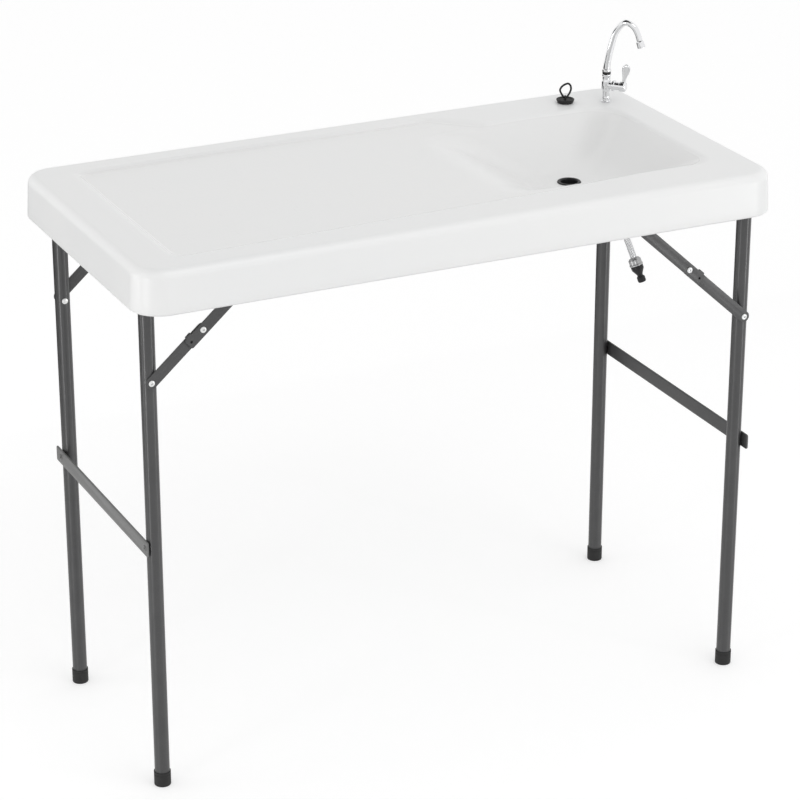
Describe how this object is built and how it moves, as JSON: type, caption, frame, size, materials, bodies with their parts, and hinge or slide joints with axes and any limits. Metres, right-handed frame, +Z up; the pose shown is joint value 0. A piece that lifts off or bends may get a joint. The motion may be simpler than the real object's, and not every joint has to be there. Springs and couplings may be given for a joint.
{
  "type": "fish cleaning table",
  "caption": "Folding fish cleaning table: moulded top with recessed work area and scooped sink basin, gooseneck faucet with hose, drain plug, and two folding leg frames on locking braces.",
  "frame": {"origin": "on the floor below the middle of the tabletop", "axes": "+X along the length to the faucet end, +Y to the back, +Z up"},
  "size_m": [1.15, 0.57, 1.0955],
  "materials": {
    "white_plastic": "moulded polyethylene with a fine satin grain",
    "powder_coat": "dark grey powder coat on steel, slightly mottled",
    "light_coat": "grey powder coat on steel, lighter than the tubes",
    "zinc": "bright zinc plate",
    "chrome": "polished chrome plate",
    "black_rubber": "matt black rubber",
    "black_plastic": "satin black moulded plastic",
    "braided_steel": "braided stainless wire over a hose",
    "black_wire": "dark steel wire"
  },
  "bodies": {
    "table": {"tabletop": "white_plastic", "drain_flange": "black_plastic", "drain_gasket": "black_rubber", "drain_nut": "black_plastic", "faucet_base": "chrome", "faucet_body": "chrome", "spout_seal": "black_rubber", "faucet_washer": "black_rubber", "faucet_nut": "zinc", "hose_top_nut": "zinc", "hose": "braided_steel", "hose_end_nut": "zinc", "hose_adapter": "black_plastic", "left_front_anchor_bracket": "powder_coat", "left_back_anchor_bracket": "powder_coat", "right_front_anchor_bracket": "powder_coat", "right_back_anchor_bracket": "powder_coat", "left_front_anchor_rivet": "zinc", "left_back_anchor_rivet": "zinc", "right_front_anchor_rivet": "zinc", "right_back_anchor_rivet": "zinc", "left_front_pivot_bracket": "powder_coat", "left_back_pivot_bracket": "powder_coat", "right_front_pivot_bracket": "powder_coat", "right_back_pivot_bracket": "powder_coat"},
    "left_leg_frame": {"left_front_leg": "powder_coat", "left_back_leg": "powder_coat", "left_front_foot": "black_rubber", "left_back_foot": "black_rubber", "left_pivot_tube": "powder_coat", "left_crossbar": "light_coat", "left_front_leg_rivet": "zinc", "left_back_leg_rivet": "zinc"},
    "left_upper_links": {"left_front_upper_link": "powder_coat", "left_back_upper_link": "powder_coat", "left_front_elbow_rivet": "zinc", "left_back_elbow_rivet": "zinc"},
    "left_lower_links": {"left_front_lower_link": "powder_coat", "left_back_lower_link": "powder_coat"},
    "right_leg_frame": {"right_front_leg": "powder_coat", "right_back_leg": "powder_coat", "right_front_foot": "black_rubber", "right_back_foot": "black_rubber", "right_pivot_tube": "powder_coat", "right_crossbar": "powder_coat", "right_front_leg_rivet": "zinc", "right_back_leg_rivet": "zinc"},
    "right_upper_links": {"right_front_upper_link": "powder_coat", "right_back_upper_link": "powder_coat", "right_front_elbow_rivet": "zinc", "right_back_elbow_rivet": "zinc"},
    "right_lower_links": {"right_front_lower_link": "powder_coat", "right_back_lower_link": "powder_coat"},
    "spout": {"spout": "chrome", "aerator": "chrome"},
    "lever": {"faucet_lever": "chrome"},
    "plug": {"sink_plug": "black_rubber"},
    "plug_ring": {"plug_ring": "black_wire"}
  },
  "joints": [
    {"name": "left_leg_fold", "type": "hinge", "parent": "table", "child": "left_leg_frame", "pos_m": [-0.535, 0, 0.9], "axis": [0, -1, 0], "range_deg": [0, 90]},
    {"name": "left_upper_link_turn", "type": "hinge", "parent": "table", "child": "left_upper_links", "pos_m": [-0.343, 0, 0.9], "axis": [0, -1, 0], "range_deg": [-41.6, 0]},
    {"name": "left_lower_link_turn", "type": "hinge", "parent": "left_leg_frame", "child": "left_lower_links", "pos_m": [-0.535, 0, 0.73], "axis": [0, -1, 0], "range_deg": [0, 48.5]},
    {"name": "right_leg_fold", "type": "hinge", "parent": "table", "child": "right_leg_frame", "pos_m": [0.535, 0, 0.9], "axis": [0, 1, 0], "range_deg": [0, 90]},
    {"name": "right_upper_link_turn", "type": "hinge", "parent": "table", "child": "right_upper_links", "pos_m": [0.288, 0, 0.9], "axis": [0, 1, 0], "range_deg": [-42.4, 0]},
    {"name": "right_lower_link_turn", "type": "hinge", "parent": "right_leg_frame", "child": "right_lower_links", "pos_m": [0.535, 0, 0.675], "axis": [0, 1, 0], "range_deg": [0, 47.7]},
    {"name": "spout_swivel", "type": "hinge", "parent": "table", "child": "spout", "pos_m": [0.505, 0.191, 1], "axis": [0, 0, 1], "continuous": true},
    {"name": "lever_turn", "type": "hinge", "parent": "table", "child": "lever", "pos_m": [0.505, 0.191, 0.9715], "axis": [0.6691, -0.7431, 0], "range_deg": [0, 90]},
    {"name": "plug_lift", "type": "slide", "parent": "table", "child": "plug", "axis": [0, 0, 1], "range_m": [0, 0.12]},
    {"name": "plug_ring_tilt", "type": "hinge", "parent": "plug", "child": "plug_ring", "pos_m": [0.436, 0.217, 0.9494], "axis": [0.9397, -0.342, 0], "range_deg": [-70, 70]}
  ],
  "couplings": [
    {"joint": "left_upper_link_turn", "follows": "left_leg_fold", "ratio": -0.46137},
    {"joint": "left_lower_link_turn", "follows": "left_leg_fold", "ratio": 0.53863},
    {"joint": "right_upper_link_turn", "follows": "right_leg_fold", "ratio": -0.47035},
    {"joint": "right_lower_link_turn", "follows": "right_leg_fold", "ratio": 0.52965}
  ]
}
